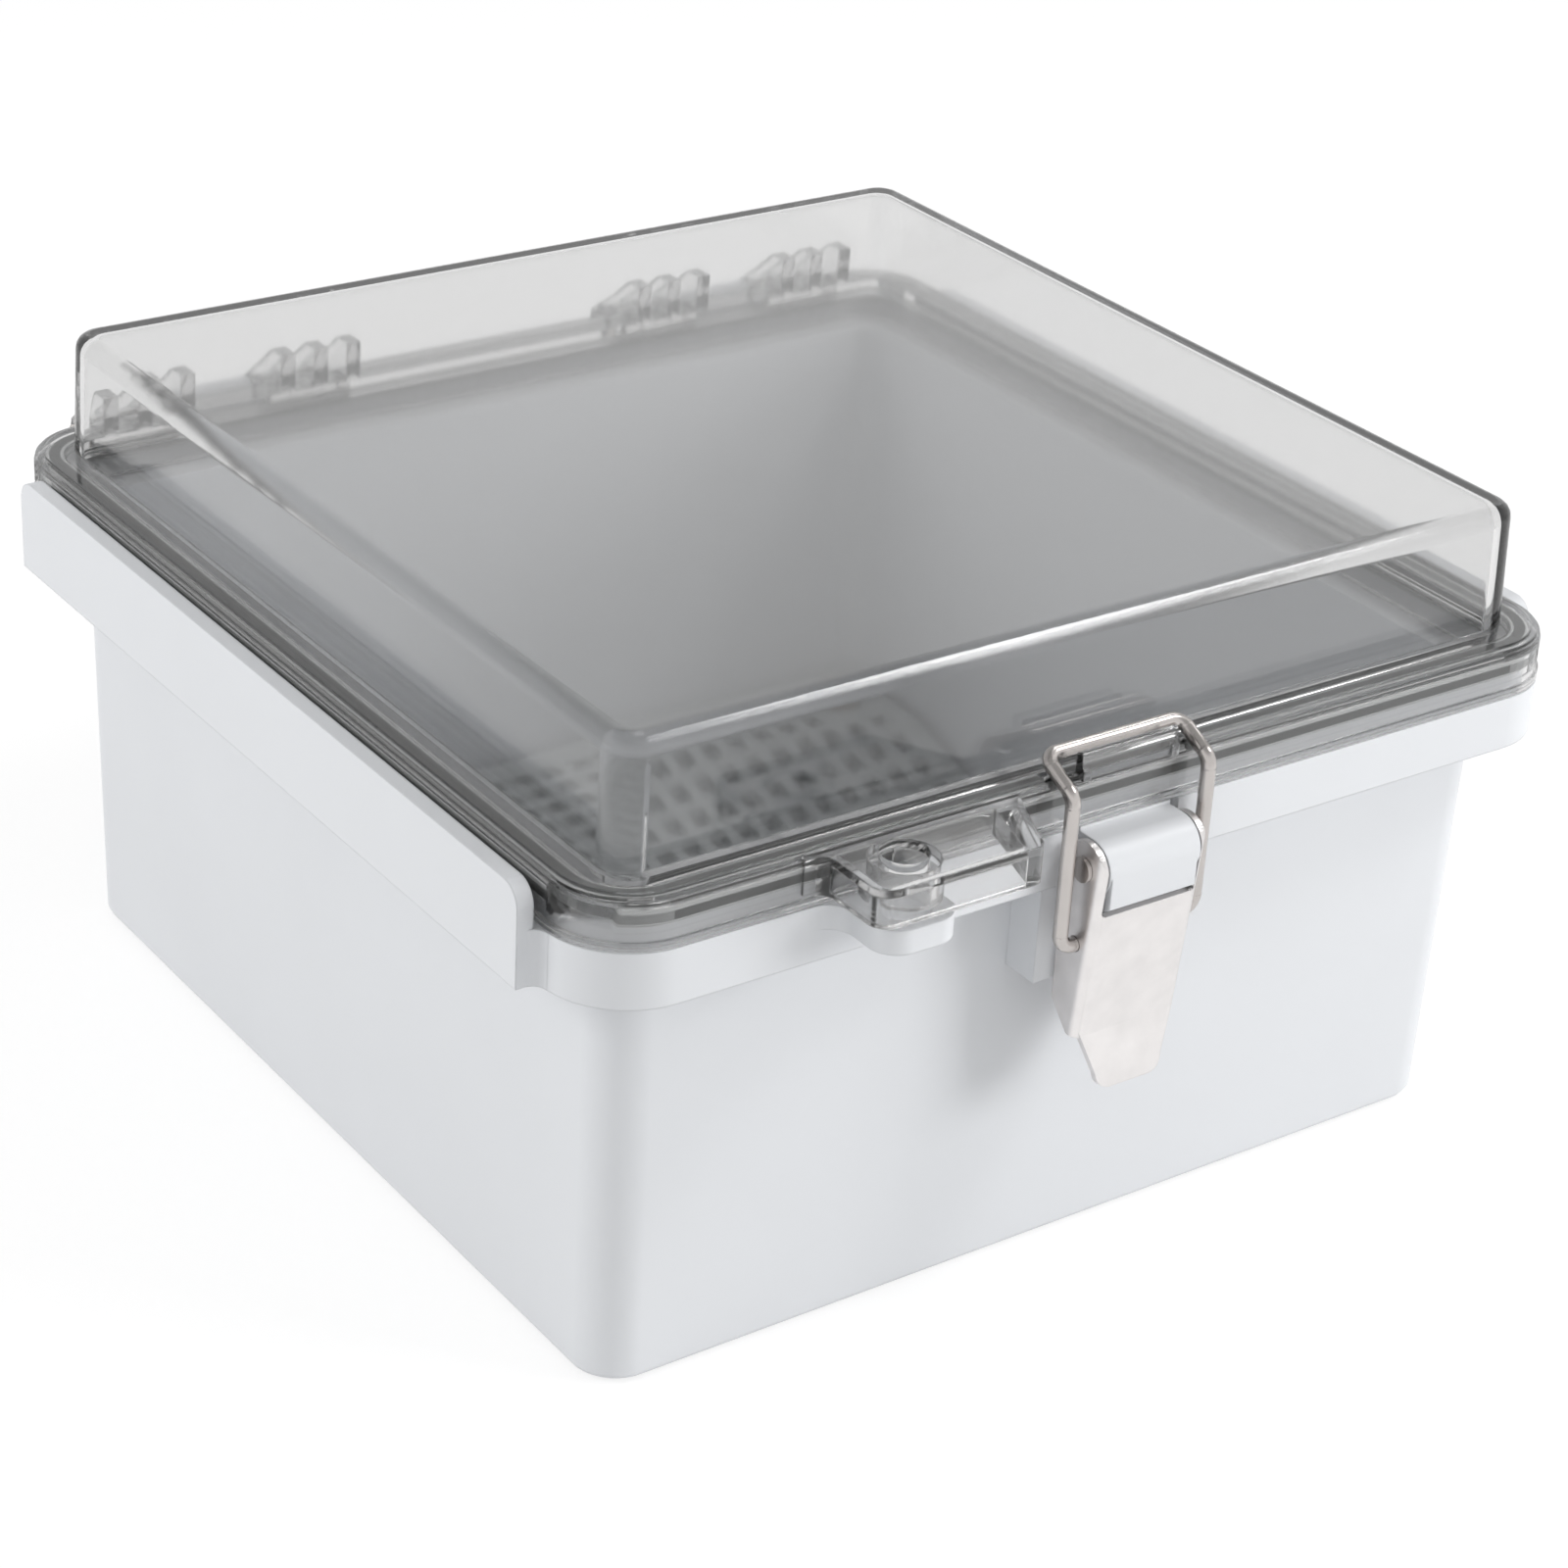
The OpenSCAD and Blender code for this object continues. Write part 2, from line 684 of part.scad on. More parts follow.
// Side outline of the lever before it leans: round ears, tapering back, slanted lower end
module lever_side() {
    translate([pivot_y, pivot_z]) circle(ear_r);
    taper = (lever_len - 4) * tan(lever_lean);
    polygon([[face_y, pivot_z], [ear_back, pivot_z], [ear_back - taper, bend_z + 4],
             [face_y + 2.4, bend_z - 0.4], [face_y, bend_z - 0.4]]);
}

// Finger tab below the bend, narrowing to round corners
module finger_tab() {
    top = lever_w / 2 - 1;
    low = top - 3;
    r = 3;
    translate([0, face_y, bend_z]) rotate([-tab_lean, 0, 0]) translate([0, lever_t, 0]) rotate([90, 0, 0])
        linear_extrude(lever_t) difference() {
            union() {
                polygon([[-top, 0.6], [top, 0.6], [low, r - tab_len], [-low, r - tab_len]]);
                translate([-low + r, -tab_len]) square([2 * (low - r), tab_len]);
                both_sides() translate([low - r, r - tab_len]) circle(r);
            }
        }
}

// Opening in the lever's face, up through its top, with round lower corners
module lever_window() {
    translate([0, face_y + lever_t + 1, 0]) rotate([90, 0, 0]) linear_extrude(lever_t + 3) {
        translate([-lever_in, window_z + window_r]) square([2 * lever_in, lever_len]);
        translate([-lever_in + window_r, window_z]) square([2 * (lever_in - window_r), lever_len]);
        both_sides() translate([lever_in - window_r, window_z + window_r]) circle(window_r);
    }
}

module latch_lever() {
    color(c_steel) difference() {
        translate([0, pivot_y, pivot_z]) rotate([lever_lean, 0, 0]) translate([0, -pivot_y, -pivot_z])
            difference() {
                union() {
                    intersection() {
                        translate([0, 0, bend_z - 2]) linear_extrude(lever_len + 10) lever_section();
                        along_x(-lever_w, lever_w) lever_side();
                    }
                    finger_tab();
                }
                lever_window();
            }
        bar_x(-lever_w, lever_w, pivot_y, pivot_z, pivot_r + pivot_fit);
        bar_x(-lever_w, lever_w, bail_y, bail_z, wire_r + wire_fit);
    }
}

// Rivet through the ears and the knuckle
module latch_pivot_pin() {
    w = lever_w / 2 + 0.05;
    head_t = 0.7;
    color(c_steel) {
        bar_x(-w, w, pivot_y, pivot_z, pivot_r);
        both_sides() bar_x(w, w + head_t, pivot_y, pivot_z, pivot_r + 0.7);
    }
}

// Straight length of wire along +Z, run a little way into the bends at its ends
module straight(len) {
    translate([0, 0, -0.1]) cylinder(h = len + 0.2, r = wire_r);
}

// Bend in the wire: starts at the origin along +Z and turns towards +X
module elbow(bend, turn) {
    translate([bend, 0, 0]) rotate([90, 0, 180])
        rotate_extrude(angle = turn, $fn = 96) translate([bend, 0]) circle(wire_r + wire_swell, $fn = 32);
}

// Right half of the bail, from its end in the lever to the middle of the crossbar
module bail_half() {
    lean = bar_lean;
    knee_cut = knee_bend * tan(lean / 2);
    leg = knee_z - bail_z - wire_bend - knee_cut;
    slant = norm([bar_back, bar_z - knee_z]) - knee_cut - bar_bend;
    end_x = lever_in - 0.8;
    translate([0, bail_y, bail_z]) {
        bar_x(end_x, leg_x - wire_bend + 0.1, 0, 0, wire_r);
        translate([leg_x - wire_bend, 0, 0]) rotate([0, 90, 0]) rotate([0, 0, 180]) elbow(wire_bend, 90);
        translate([leg_x, 0, wire_bend]) {
            straight(leg);
            translate([0, 0, leg]) {
                rotate([0, 0, 90]) elbow(knee_bend, lean);
                translate([0, knee_bend * (1 - cos(lean)), knee_bend * sin(lean)]) rotate([-lean, 0, 0]) {
                    straight(slant);
                    translate([0, 0, slant]) rotate([0, 0, 180]) elbow(bar_bend, 90);
                    translate([-leg_x - 0.1, 0, slant + bar_bend]) rotate([0, 90, 0])
                        cylinder(h = leg_x - bar_bend + 0.2, r = wire_r);
                }
            }
        }
    }
}

module latch_bail() {
    color(c_steel) both_sides() bail_half();
}

// ---- mounting panel and fixings --------------------------------------------

// Count of perforations that fit in a length, kept even about the centre
function perf_count(len) = floor((len - 2 * perf_w) / perf_pitch);

// Perforation centres along a length
function perf_at(len) = [for (i = [0 : perf_count(len) - 1]) (i - (perf_count(len) - 1) / 2) * perf_pitch];

// Is a perforation clear of the screw heads
function perf_clear(x, y) = norm([abs(x) - screw_x, abs(y) - screw_y]) > washer_r + perf_w;

module mounting_panel() {
    color(c_panel) translate([0, 0, panel_z]) linear_extrude(panel_t) difference() {
        round_rect(panel_w, panel_d, 4);
        for (x = perf_at(panel_w), y = perf_at(panel_d))
            if (perf_clear(x, y)) translate([x, y]) square(perf_w, center = true);
        at_corners(screw_x, screw_y) circle(screw_r + screw_gap);
    }
}

module panel_inserts() {
    color(c_brass) at_corners(screw_x, screw_y) translate([0, 0, panel_z - insert_len]) difference() {
        cylinder(h = insert_len, r = insert_r);
        translate([0, 0, -1]) cylinder(h = insert_len + 2, r = screw_r + insert_fit);
    }
}

module panel_washers() {
    color(c_steel) at_corners(screw_x, screw_y) translate([0, 0, panel_z + panel_t]) difference() {
        cylinder(h = washer_t, r = washer_r);
        translate([0, 0, -1]) cylinder(h = washer_t + 2, r = screw_r + screw_gap);
    }
}

// Pan-head screw with a cross recess
module pan_screw() {
    head_r = 2 * screw_r;
    head_t = 1.3 * screw_r;
    shank = insert_len + panel_t + washer_t - 0.6;
    difference() {
        union() {
            translate([0, 0, -shank]) cylinder(h = shank, r = screw_r);
            intersection() {
                cylinder(h = head_t, r = head_r);
                translate([0, 0, head_t - 2 * head_r]) sphere(r = 2 * head_r);
            }
        }
        for (a = [0, 90]) rotate(a) translate([0, 0, head_t]) cube([0.5 * head_r, 0.9, 2.2], center = true);
    }
}

module panel_screws() {
    color(c_steel) at_corners(screw_x, screw_y) translate([0, 0, panel_z + panel_t + washer_t]) pan_screw();
}

module wall_inserts() {
    color(c_brass) at_corners(fix_x / 2, fix_y / 2) difference() {
        cylinder(h = fix_len, r = fix_out_r);
        translate([0, 0, -1]) cylinder(h = fix_len + 2, r = fix_r);
    }
}

tub();
lid();
gasket();
hinge_pin_left();
hinge_pin_right();
latch_lever();
latch_pivot_pin();
latch_bail();
mounting_panel();
panel_inserts();
panel_screws();
panel_washers();
wall_inserts();
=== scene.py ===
"""Looks of a wall-mount enclosure: grey moulded tub, smoked clear lid, stainless draw latch.

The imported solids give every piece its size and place. Each operator dresses one group of pieces,
and the stage operator sets the floor, the lamps, the world and the camera.
"""

import json
import math

import bpy
from bpy.props import FloatProperty, FloatVectorProperty, PointerProperty
from mathutils import Matrix, Vector

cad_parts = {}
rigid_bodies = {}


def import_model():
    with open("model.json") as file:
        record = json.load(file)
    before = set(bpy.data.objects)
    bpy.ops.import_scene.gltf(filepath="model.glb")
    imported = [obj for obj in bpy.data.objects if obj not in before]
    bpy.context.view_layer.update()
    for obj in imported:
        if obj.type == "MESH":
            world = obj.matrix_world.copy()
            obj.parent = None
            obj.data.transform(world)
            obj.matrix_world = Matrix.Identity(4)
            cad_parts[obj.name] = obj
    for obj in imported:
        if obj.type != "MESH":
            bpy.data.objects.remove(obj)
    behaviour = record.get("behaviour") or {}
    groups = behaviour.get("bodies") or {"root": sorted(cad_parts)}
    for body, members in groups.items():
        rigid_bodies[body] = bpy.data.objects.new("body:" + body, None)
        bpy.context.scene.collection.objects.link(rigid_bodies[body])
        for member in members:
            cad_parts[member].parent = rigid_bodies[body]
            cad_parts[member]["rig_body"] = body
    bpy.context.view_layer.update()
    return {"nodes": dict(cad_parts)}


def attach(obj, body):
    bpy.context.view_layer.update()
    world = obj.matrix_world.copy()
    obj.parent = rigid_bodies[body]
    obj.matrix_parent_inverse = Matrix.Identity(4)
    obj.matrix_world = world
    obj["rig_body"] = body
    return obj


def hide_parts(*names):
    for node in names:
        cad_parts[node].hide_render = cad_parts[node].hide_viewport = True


bl_info = {
    "name": "Clear-lid enclosure",
    "version": (1, 0, 0),
    "blender": (4, 5, 0),
    "location": "View3D > Sidebar > Enclosure",
    "description": "Dresses a hinged wall-mount enclosure with a clear lid and a wire-bail latch",
    "category": "Object",
}

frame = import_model()

MM = 0.001
X_AXIS, Z_AXIS = 0, 2

POLYCARBONATE_IOR = 1.58
EDGE_RAYS = 4  # rays that feel for an edge to round
MOULDED_EDGE = 0.5  # mm, radius that a moulded edge is shaded with
SHEET_EDGE = 0.25  # mm, the same for steel

# The colour sockets of a Mix node go by number, because its other sockets share their names.
MIX_DARK, MIX_LIGHT, MIX_RESULT = 6, 7, 2

MERGE_DISTANCE = 0.002  # mm, corners nearer than this become one
FLAT_ANGLE = 0.4  # degrees, faces that meet flatter than this become one
CROWN_ANGLE = 50  # degrees, edges sharper than this are rounded by a crown
CROWN_STEPS = 4  # faces across a crown
FACE_WEIGHT = 60  # 50 is neutral, and more lets large faces lead the shading

FLOOR_DROP = 0.5  # mm that the floor lies below the box
FLOOR_PAPER = (0.32, 0.32, 0.32)  # what the seen floor gives back of the light on it
FLOOR_GLOW = 0.74  # what is added to that, so that the floor looks white
FLOOR_BOUNCE = (0.8, 0.8, 0.8)  # what the floor throws back onto the box
WHITE = (1, 1, 1)

LAMPS_AIM = (0, 0, 0.06)  # m, middle of the box
SENSOR_WIDTH = 36.0  # mm
NEAREST, FARTHEST = 0.01, 50.0  # m, what the camera sees lies between


# ---- colours and nodes -------------------------------------------------------


def srgb(code):
    """Linear RGB of a hex colour such as "#dfe1e4"."""
    steps = [int(code[i : i + 2], 16) / 255 for i in (1, 3, 5)]
    return tuple(c / 12.92 if c <= 0.04045 else ((c + 0.055) / 1.055) ** 2.4 for c in steps)


def toned(colour, share):
    """A colour made darker or lighter by a share, as a colour socket takes it."""
    return (*[min(c * share, 1.0) for c in colour], 1.0)


def repeats(size):
    """Scale of a pattern whose features are of a size in mm."""
    return 1 / (size * MM)


def add_node(tree, kind, links=(), **sockets):
    """Adds a shader node. Sockets are set by name with "_" for a space, other names are the
    node's own settings, and each link is (input's name or number, output socket to read)."""
    node = tree.nodes.new(kind)
    for name, value in sockets.items():
        label = name.replace("_", " ")
        if label in node.inputs:
            if node.inputs[label].type == "RGBA" and len(value) == 3:
                value = (*value, 1.0)
            node.inputs[label].default_value = value
        else:
            setattr(node, name, value)
    for name, source in links:
        tree.links.new(node.inputs[name], source)
    return node


def new_material(name):
    """An empty node material and its tree."""
    material = bpy.data.materials.new(name)
    material.use_nodes = True
    material.node_tree.nodes.clear()
    return material, material.node_tree


# ---- materials ---------------------------------------------------------------


def moulded_polycarbonate(colours):
    """Opaque polycarbonate from a lightly spark-eroded mould: low sheen, a fine even grain and
    rounded edges that catch the light."""
    material, tree = new_material("grey_moulded_polycarbonate")
    place = add_node(tree, "ShaderNodeTexCoord")
    cloud = add_node(  # slow drift of the pigment
        tree,
        "ShaderNodeTexNoise",
        [("Vector", place.outputs["Object"])],
        Scale=repeats(40),
        Detail=2.0,
    )
    tint = add_node(tree, "ShaderNodeMix", [("Factor", cloud.outputs["Fac"])], data_type="RGBA")
    tint.inputs[MIX_DARK].default_value = toned(colours.tub, 0.97)
    tint.inputs[MIX_LIGHT].default_value = toned(colours.tub, 1.03)
    grain = add_node(  # the mould's grain, drawn coarser than it is so that it shows
        tree,
        "ShaderNodeTexNoise",
        [("Vector", place.outputs["Object"])],
        Scale=repeats(0.5),
        Detail=1.0,
    )
    sheen = add_node(
        tree,
        "ShaderNodeMapRange",
        [("Value", grain.outputs["Fac"])],
        To_Min=0.36,
        To_Max=0.48,
    )
    edge = add_node(tree, "ShaderNodeBevel", samples=EDGE_RAYS, Radius=MOULDED_EDGE * MM)
    bump = add_node(
        tree,
        "ShaderNodeBump",
        [("Height", grain.outputs["Fac"]), ("Normal", edge.outputs["Normal"])],
        Strength=0.12,
        Distance=0.02 * MM,
    )
    shader = add_node(
        tree,
        "ShaderNodeBsdfPrincipled",
        [
            ("Base Color", tint.outputs[MIX_RESULT]),
            ("Roughness", sheen.outputs["Result"]),
            ("Normal", bump.outputs["Normal"]),
        ],
        IOR=POLYCARBONATE_IOR,
    )
    add_node(tree, "ShaderNodeOutputMaterial", [("Surface", shader.outputs["BSDF"])])
    return material


def clear_polycarbonate(colours):
    """Lightly smoked clear polycarbonate, polished in the mould: it bends what is behind it and
    darkens where the eye looks along a wall. Lamps pass as through a thin tinted pane."""
    polished_face = (0.885, 0.885, 0.885)  # tint of a face, for the eye
    tinted_pane = (0.71, 0.71, 0.71)  # tint of a face, for a lamp's light
    material, tree = new_material("smoked_clear_polycarbonate")
    place = add_node(tree, "ShaderNodeTexCoord")
    flow = add_node(  # faint waviness of a moulded clear sheet
        tree,
        "ShaderNodeTexNoise",
        [("Vector", place.outputs["Object"])],
        Scale=repeats(28.57),
        Detail=1.0,
    )
    edge = add_node(tree, "ShaderNodeBevel", samples=EDGE_RAYS, Radius=MOULDED_EDGE * MM)
    bump = add_node(
        tree,
        "ShaderNodeBump",
        [("Height", flow.outputs["Fac"]), ("Normal", edge.outputs["Normal"])],
        Strength=0.1,
        Distance=0.03 * MM,
    )
    glass = add_node(
        tree,
        "ShaderNodeBsdfPrincipled",
        [("Normal", bump.outputs["Normal"])],
        Base_Color=polished_face,
        Roughness=0.045,
        IOR=POLYCARBONATE_IOR,
    )
    glass.inputs["Transmission Weight"].default_value = 1.0
    pane = add_node(tree, "ShaderNodeBsdfTransparent", Color=tinted_pane)
    path = add_node(tree, "ShaderNodeLightPath")
    mixed = add_node(
        tree,
        "ShaderNodeMixShader",
        [
            ("Fac", path.outputs["Is Shadow Ray"]),
            (1, glass.outputs["BSDF"]),
            (2, pane.outputs["BSDF"]),
        ],
    )
    smoke = add_node(tree, "ShaderNodeVolumeAbsorption", Color=colours.smoke, Density=26.0)
    add_node(
        tree,
        "ShaderNodeOutputMaterial",
        [("Surface", mixed.outputs["Shader"]), ("Volume", smoke.outputs["Volume"])],
    )
    return material


def foam_rubber(colours):
    """Poured polyurethane foam seal: matt, grey, with fine pores."""
    material, tree = new_material("poured_foam_rubber")
    place = add_node(tree, "ShaderNodeTexCoord")
    pores = add_node(  # closed cells
        tree, "ShaderNodeTexVoronoi", [("Vector", place.outputs["Object"])], Scale=repeats(0.4)
    )
    bump = add_node(
        tree,
        "ShaderNodeBump",
        [("Height", pores.outputs["Distance"])],
        Strength=0.3,
        Distance=0.05 * MM,
    )
    shader = add_node(
        tree,
        "ShaderNodeBsdfPrincipled",
        [("Normal", bump.outputs["Normal"])],
        Base_Color=colours.seal,
        Roughness=0.75,
    )
    add_node(tree, "ShaderNodeOutputMaterial", [("Surface", shader.outputs["BSDF"])])
    return material


def satin_stainless(colour, name, grain_axis, roughness):
    """Stainless steel, rolled or drawn and then tumbled: a satin skin with short fine lines along
    the grain axis and small dull patches from handling."""
    material, tree = new_material(name)
    place = add_node(tree, "ShaderNodeTexCoord")
    line_size = [0.25, 0.25, 0.25]  # mm, coarser than real lines so that they show
    line_size[grain_axis] = 8.333
    lines_at = add_node(
        tree,
        "ShaderNodeMapping",
        [("Vector", place.outputs["Object"])],
        Scale=[repeats(size) for size in line_size],
    )
    lines = add_node(
        tree, "ShaderNodeTexNoise", [("Vector", lines_at.outputs["Vector"])], Scale=1.0, Detail=2.0
    )
    patches = add_node(
        tree,
        "ShaderNodeTexNoise",
        [("Vector", place.outputs["Object"])],
        Scale=repeats(5.556),
        Detail=3.0,
    )
    dulled = add_node(
        tree,
        "ShaderNodeMapRange",
        [("Value", patches.outputs["Fac"])],
        To_Min=roughness,
        To_Max=roughness + 0.16,
    )
    mottle = add_node(tree, "ShaderNodeMix", [("Factor", patches.outputs["Fac"])], data_type="RGBA")
    mottle.inputs[MIX_DARK].default_value = toned(colour, 0.86)
    mottle.inputs[MIX_LIGHT].default_value = toned(colour, 1.1)
    edge = add_node(tree, "ShaderNodeBevel", samples=EDGE_RAYS, Radius=SHEET_EDGE * MM)
    bump = add_node(
        tree,
        "ShaderNodeBump",
        [("Height", lines.outputs["Fac"]), ("Normal", edge.outputs["Normal"])],
        Strength=0.25,
        Distance=0.012 * MM,
    )
    shader = add_node(
        tree,
        "ShaderNodeBsdfPrincipled",
        [
            ("Base Color", mottle.outputs[MIX_RESULT]),
            ("Roughness", dulled.outputs["Result"]),
            ("Normal", bump.outputs["Normal"]),
        ],
        Metallic=1.0,
    )
    add_node(tree, "ShaderNodeOutputMaterial", [("Surface", shader.outputs["BSDF"])])
    return material


def powder_coat(colours):
    """Powder-coated sheet: light grey, with a soft sheen and a faint orange peel."""
    material, tree = new_material("light_grey_powder_coat")
    place = add_node(tree, "ShaderNodeTexCoord")
    peel = add_node(
        tree,
        "ShaderNodeTexNoise",
        [("Vector", place.outputs["Object"])],
        Scale=repeats(1),
        Detail=1.0,
    )
    bump = add_node(
        tree,
        "ShaderNodeBump",
        [("Height", peel.outputs["Fac"])],
        Strength=0.2,
        Distance=0.03 * MM,
    )
    shader = add_node(
        tree,
        "ShaderNodeBsdfPrincipled",
        [("Normal", bump.outputs["Normal"])],
        Base_Color=colours.panel,
        Roughness=0.45,
    )
    add_node(tree, "ShaderNodeOutputMaterial", [("Surface", shader.outputs["BSDF"])])
    return material


def turned_brass(colours):
    """Brass turned from bar: yellow and bright, with small duller marks."""
    material, tree = new_material("turned_brass")
    place = add_node(tree, "ShaderNodeTexCoord")
    marks = add_node(
        tree,
        "ShaderNodeTexNoise",
        [("Vector", place.outputs["Object"])],
        Scale=repeats(1.111),
        Detail=2.0,
    )
    worn = add_node(
        tree,
        "ShaderNodeMapRange",
        [("Value", marks.outputs["Fac"])],
        To_Min=0.25,
        To_Max=0.4,
    )
    shader = add_node(
        tree,
        "ShaderNodeBsdfPrincipled",
        [("Roughness", worn.outputs["Result"])],
        Base_Color=colours.brass,
        Metallic=1.0,
    )
    add_node(tree, "ShaderNodeOutputMaterial", [("Surface", shader.outputs["BSDF"])])
    return material


# ---- pieces ------------------------------------------------------------------


def select_only(piece):
    """Selects one object and makes it the active one."""
    bpy.ops.object.select_all(action="DESELECT")
    piece.select_set(True)
    bpy.context.view_layer.objects.active = piece


def dress(node, name, material, angle, flatten=True, crown=0.0):
    """Puts a merged copy of a node's solid in its place, shaded smooth where its faces meet under
    the angle in degrees. Flatten joins the faces of one plane. A crown is the radius in mm that
    the copy's edges are rounded with."""
    source = frame["nodes"][node]
    select_only(source)
    bpy.ops.object.duplicate()
    piece = bpy.context.view_layer.objects.active
    piece.name = name
    piece.data.name = name
    for key in list(piece.keys()):  # the marks of a CAD node stay with the solid
        del piece[key]
    piece.parent = None
    bpy.ops.object.mode_set(mode="EDIT")
    bpy.ops.mesh.select_all(action="SELECT")
    bpy.ops.mesh.remove_doubles(threshold=MERGE_DISTANCE * MM)
    if flatten:
        bpy.ops.mesh.dissolve_limited(
            angle_limit=math.radians(FLAT_ANGLE), use_dissolve_boundaries=False
        )
    bpy.ops.object.mode_set(mode="OBJECT")
    select_only(piece)
    if crown:
        rounding = piece.modifiers.new("Rounded edges", "BEVEL")
        rounding.width = crown * MM
        rounding.segments = CROWN_STEPS
        rounding.limit_method = "ANGLE"
        rounding.angle_limit = math.radians(CROWN_ANGLE)
        bpy.ops.object.modifier_apply(modifier=rounding.name)
    bpy.ops.object.shade_smooth_by_angle(angle=math.radians(angle))
    weigh = piece.modifiers.new("Even shading", "WEIGHTED_NORMAL")
    weigh.keep_sharp = True
    weigh.weight = FACE_WEIGHT
    bpy.ops.object.modifier_apply(modifier=weigh.name)
    piece.data.materials.clear()
    piece.data.materials.append(material)
    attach(piece, source["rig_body"])
    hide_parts(node)


# ---- properties --------------------------------------------------------------


class EnclosureColours(bpy.types.PropertyGroup):
    """Colours of the finishes"""

    tub: FloatVectorProperty(
        name="Tub", description="Moulded tub and rim", subtype="COLOR", default=srgb("#dfe1e4")
    )
    smoke: FloatVectorProperty(
        name="Smoke",
        description="Tint inside the clear lid",
        subtype="COLOR",
        default=srgb("#6b6865"),
    )
    seal: FloatVectorProperty(
        name="Seal", description="Foam seal in the lid", subtype="COLOR", default=srgb("#c6c8c8")
    )
    lever: FloatVectorProperty(
        name="Lever",
        description="Pressed sheet of the lever",
        subtype="COLOR",
        default=srgb("#e8e5e4"),
    )
    steel: FloatVectorProperty(
        name="Steel", description="Bail, pins and screws", subtype="COLOR", default=srgb("#c3bebb")
    )
    panel: FloatVectorProperty(
        name="Panel",
        description="Coating of the mounting panel",
        subtype="COLOR",
        default=srgb("#bcbfc0"),
    )
    brass: FloatVectorProperty(
        name="Brass", description="Threaded inserts", subtype="COLOR", default=srgb("#d9b877")
    )


class EnclosureStage(bpy.types.PropertyGroup):
    """Camera, lamps and floor"""

    lens: FloatProperty(
        name="Lens", description="Focal length on a 36 mm sensor", unit="CAMERA", default=87.15
    )
    azimuth: FloatProperty(
        name="Azimuth", description="Camera heading", subtype="ANGLE", default=math.radians(36.400)
    )
    elevation: FloatProperty(
        name="Elevation",
        description="Camera height angle",
        subtype="ANGLE",
        default=math.radians(27.846),
    )
    roll: FloatProperty(
        name="Roll", description="Camera roll", subtype="ANGLE", default=math.radians(3.433)
    )
    place: FloatVectorProperty(
        name="Place",
        description="Camera position",
        subtype="TRANSLATION",
        unit="LENGTH",
        default=(-0.368966, -0.509517, 0.378056),
    )
    floor: FloatProperty(name="Floor", description="Side of the floor", unit="LENGTH", default=6.0)
    key: FloatProperty(
        name="Key", description="Power of the lamp high on the right", unit="POWER", default=3.5
    )
    right: FloatProperty(
        name="Right", description="Power of the lamp low on the right", unit="POWER", default=5.5
    )
    side: FloatProperty(
        name="Side", description="Power of the lamp on the left", unit="POWER", default=6.0
    )
    sky: FloatProperty(name="Sky", description="Strength of the world's light", default=0.58)


# ---- operators ---------------------------------------------------------------


class ENCLOSURE_OT_tub(bpy.types.Operator):
    """Dress the moulded tub"""

    bl_idname = "enclosure.tub"
    bl_label = "Tub"

    def execute(self, context):
        grey = moulded_polycarbonate(context.scene.enclosure_colours)
        dress("tub", "tub_shell", grey, angle=32)
        return {"FINISHED"}


class ENCLOSURE_OT_lid(bpy.types.Operator):
    """Dress the clear lid and its seal"""

    bl_idname = "enclosure.lid"
    bl_label = "Lid and seal"

    def execute(self, context):
        colours = context.scene.enclosure_colours
        dress("lid", "clear_lid", clear_polycarbonate(colours), angle=32)
        dress("gasket", "lid_seal", foam_rubber(colours), angle=48, crown=0.8)
        return {"FINISHED"}


class ENCLOSURE_OT_latch(bpy.types.Operator):
    """Dress the latch and the hinge pins"""

    bl_idname = "enclosure.latch"
    bl_label = "Latch and pins"

    def execute(self, context):
        colours = context.scene.enclosure_colours
        sheet = satin_stainless(colours.lever, "rolled_stainless_sheet", Z_AXIS, roughness=0.26)
        wire = satin_stainless(colours.steel, "drawn_stainless_wire", Z_AXIS, roughness=0.16)
        rod = satin_stainless(colours.steel, "ground_stainless_rod", X_AXIS, roughness=0.2)
        dress("latch_lever", "lever", sheet, angle=30)
        dress("latch_bail", "bail", wire, angle=40)
        for node in ("latch_pivot_pin", "hinge_pin_left", "hinge_pin_right"):
            dress(node, node + "_rod", rod, angle=30)
        return {"FINISHED"}


class ENCLOSURE_OT_panel(bpy.types.Operator):
    """Dress the mounting panel and its fixings"""

    bl_idname = "enclosure.panel"
    bl_label = "Panel and fixings"

    def execute(self, context):
        colours = context.scene.enclosure_colours
        coat = powder_coat(colours)
        brass = turned_brass(colours)
        plated = satin_stainless(colours.steel, "plated_screw_steel", X_AXIS, roughness=0.26)
        dress("mounting_panel", "perforated_panel", coat, angle=20, flatten=False)
        dress("panel_screws", "screws", plated, angle=35)
        dress("panel_washers", "washers", plated, angle=35)
        dress("panel_inserts", "inserts", brass, angle=35)
        dress("wall_inserts", "back_inserts", brass, angle=35)
        return {"FINISHED"}


